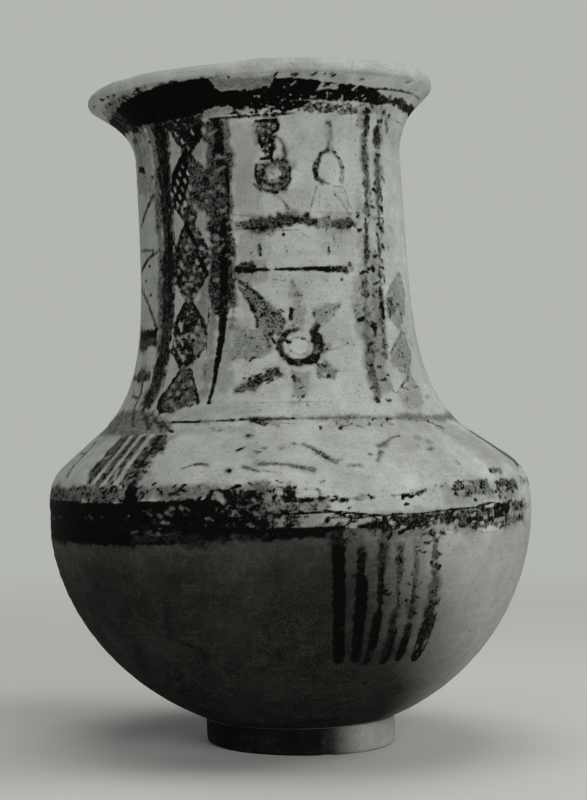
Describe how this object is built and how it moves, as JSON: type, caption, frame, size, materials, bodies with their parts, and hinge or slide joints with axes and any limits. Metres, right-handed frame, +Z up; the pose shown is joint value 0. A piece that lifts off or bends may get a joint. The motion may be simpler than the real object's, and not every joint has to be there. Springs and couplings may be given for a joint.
{
  "type": "pottery jar",
  "caption": "Round-bellied earthenware jar with a tall neck, a splayed rim and a low ring foot, luted together from thrown sections.",
  "frame": {"origin": "on the table, under the middle of the belly", "axes": "+Z up, and -Y is the side with the painted jugs and the star"},
  "size_m": [0.1887, 0.1886, 0.2606],
  "materials": {
    "foot_clay": "matte",
    "luting_clay": "matte",
    "bowl_clay": "matte",
    "shoulder_slip": "matte",
    "neck_slip": "matte",
    "rim_slip": "matte"
  },
  "bodies": {
    "root": {"foot_ring": "foot_clay", "foot_luting": "luting_clay", "bowl": "bowl_clay", "belly_luting": "luting_clay", "shoulder": "shoulder_slip", "neck_luting": "luting_clay", "neck": "neck_slip", "rim_luting": "luting_clay", "rim": "rim_slip"}
  },
  "joints": []
}
